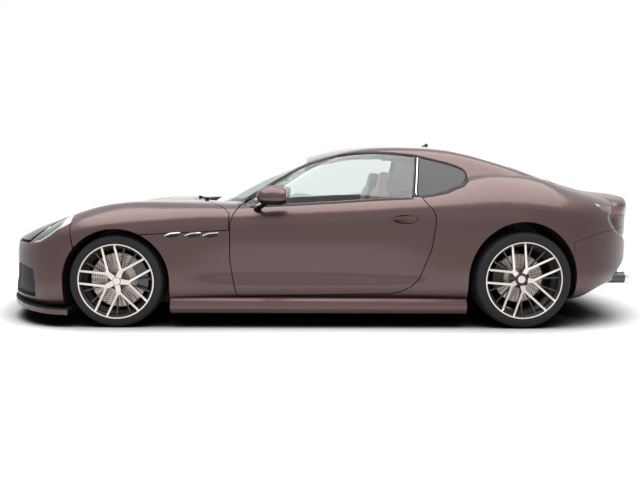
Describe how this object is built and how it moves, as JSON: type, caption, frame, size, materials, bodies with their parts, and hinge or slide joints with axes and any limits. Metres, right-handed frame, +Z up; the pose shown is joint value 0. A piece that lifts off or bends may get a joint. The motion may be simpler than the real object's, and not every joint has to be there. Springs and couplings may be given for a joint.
{
  "type": "two-door grand touring coupe car",
  "caption": "Long-bonnet two-door coupe with opening doors, bonnet and boot lid, steered front wheels and rolling wheels.",
  "frame": {"origin": "on the ground, midway between nose and tail and between the sides", "axes": "+X towards the tail, +Y towards the car's right side, +Z up; the car faces -X"},
  "size_m": [4.959, 2.196, 1.384],
  "materials": {
    "black_trim": "gloss black",
    "cabin_plastic": "soft dark plastic",
    "caliper": "black caliper",
    "chrome": "bright edge",
    "disc": "drilled disc",
    "engine": "cast aluminium",
    "exhaust": "steel with bright tips",
    "glass": "tinted glass",
    "lamp": "smoked lamp cover",
    "leather": "brown leather",
    "matte_black": "matte black",
    "paint": "metallic rose-brown paint",
    "rim": "machined face, dark pockets",
    "rubber": "tyre rubber",
    "steel": "coated steel",
    "tail_lamp": "dark red lamp cover"
  },
  "bodies": {
    "car_body": {"body_shell": "paint", "floorpan": "steel", "front_bumper": "paint", "rear_bumper": "paint", "headlamps": "lamp", "tail_lamps": "tail_lamp", "windscreen": "glass", "rear_window": "glass", "quarter_glass": "glass", "front_seats": "leather", "rear_seat": "leather", "dashboard": "cabin_plastic", "steering_wheel": "cabin_plastic", "front_suspension": "steel", "rear_suspension": "steel", "engine_block": "engine", "front_grille": "black_trim", "front_splitter": "black_trim", "side_skirts": "paint", "rear_diffuser": "matte_black", "exhaust": "exhaust", "fender_vents": "chrome", "wipers": "matte_black"},
    "left_door": {"door_left": "paint", "door_glass_left": "glass", "mirror_left": "paint"},
    "right_door": {"door_right": "paint", "door_glass_right": "glass", "mirror_right": "paint"},
    "bonnet_panel": {"bonnet": "paint"},
    "boot_panel": {"boot_lid": "paint"},
    "left_knuckle": {"knuckle_fl": "caliper"},
    "right_knuckle": {"knuckle_fr": "caliper"},
    "wheel_fl": {"tyre_fl": "rubber", "rim_fl": "rim", "brake_disc_fl": "disc"},
    "wheel_fr": {"tyre_fr": "rubber", "rim_fr": "rim", "brake_disc_fr": "disc"},
    "wheel_rl": {"tyre_rl": "rubber", "rim_rl": "rim", "brake_disc_rl": "disc"},
    "wheel_rr": {"tyre_rr": "rubber", "rim_rr": "rim", "brake_disc_rr": "disc"}
  },
  "joints": [
    {"name": "left_door_hinge", "type": "hinge", "parent": "car_body", "child": "left_door", "pos_m": [-0.68, -0.915, 0.5], "axis": [0, 0, -1], "range_deg": [0, 65]},
    {"name": "right_door_hinge", "type": "hinge", "parent": "car_body", "child": "right_door", "pos_m": [-0.68, 0.915, 0.5], "axis": [0, 0, 1], "range_deg": [0, 65]},
    {"name": "bonnet_hinge", "type": "hinge", "parent": "car_body", "child": "bonnet_panel", "pos_m": [-0.7, 0, 0.88], "axis": [0, 1, 0], "range_deg": [0, 50]},
    {"name": "boot_lid_hinge", "type": "hinge", "parent": "car_body", "child": "boot_panel", "pos_m": [1.967, 0, 1.0526], "axis": [0, -1, 0], "range_deg": [0, 75]},
    {"name": "steer_left", "type": "hinge", "parent": "car_body", "child": "left_knuckle", "pos_m": [-1.4995, -0.7952, 0.3335], "axis": [0, 0, 1], "range_deg": [-30, 30]},
    {"name": "steer_right", "type": "hinge", "parent": "car_body", "child": "right_knuckle", "pos_m": [-1.4995, 0.7952, 0.3335], "axis": [0, 0, 1], "range_deg": [-30, 30]},
    {"name": "wheel_spin_fl", "type": "hinge", "parent": "left_knuckle", "child": "wheel_fl", "pos_m": [-1.4995, -0.818, 0.3335], "axis": [0, 1, 0], "continuous": true},
    {"name": "wheel_spin_fr", "type": "hinge", "parent": "right_knuckle", "child": "wheel_fr", "pos_m": [-1.4995, 0.818, 0.3335], "axis": [0, 1, 0], "continuous": true},
    {"name": "wheel_spin_rl", "type": "hinge", "parent": "car_body", "child": "wheel_rl", "pos_m": [1.4295, -0.82, 0.355], "axis": [0, 1, 0], "continuous": true},
    {"name": "wheel_spin_rr", "type": "hinge", "parent": "car_body", "child": "wheel_rr", "pos_m": [1.4295, 0.82, 0.355], "axis": [0, 1, 0], "continuous": true}
  ],
  "couplings": [
    {"joint": "steer_right", "follows": "steer_left", "ratio": 1}
  ]
}
